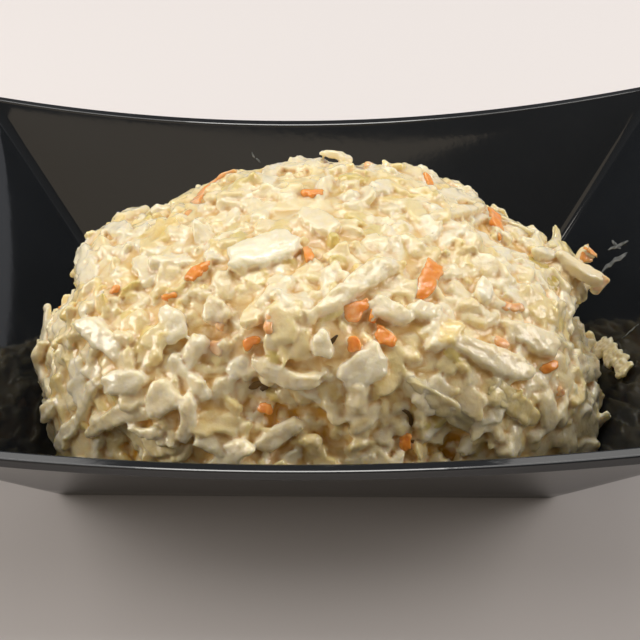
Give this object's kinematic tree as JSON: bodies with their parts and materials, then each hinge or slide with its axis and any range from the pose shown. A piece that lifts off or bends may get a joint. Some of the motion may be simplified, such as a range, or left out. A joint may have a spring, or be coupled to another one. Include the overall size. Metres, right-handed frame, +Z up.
{
  "type": "coleslaw in a dish",
  "caption": "Creamy chopped coleslaw heaped in a flared rectangular black dish with a dipping rim, one loose shred lying on the end wall.",
  "frame": {"origin": "middle of the dish's flat underside", "axes": "+Z up, +X along the dish's length towards the end with the loose shred, -Y towards the long side that the heap leans on"},
  "size_m": [0.2006, 0.1446, 0.0641],
  "materials": {
    "dish_plastic": "gloss",
    "dressed_cabbage": "satin",
    "dressed_shred": "satin"
  },
  "bodies": {
    "root": {"dish": "dish_plastic", "coleslaw": "dressed_cabbage", "loose_cabbage_shred": "dressed_shred"}
  },
  "joints": []
}
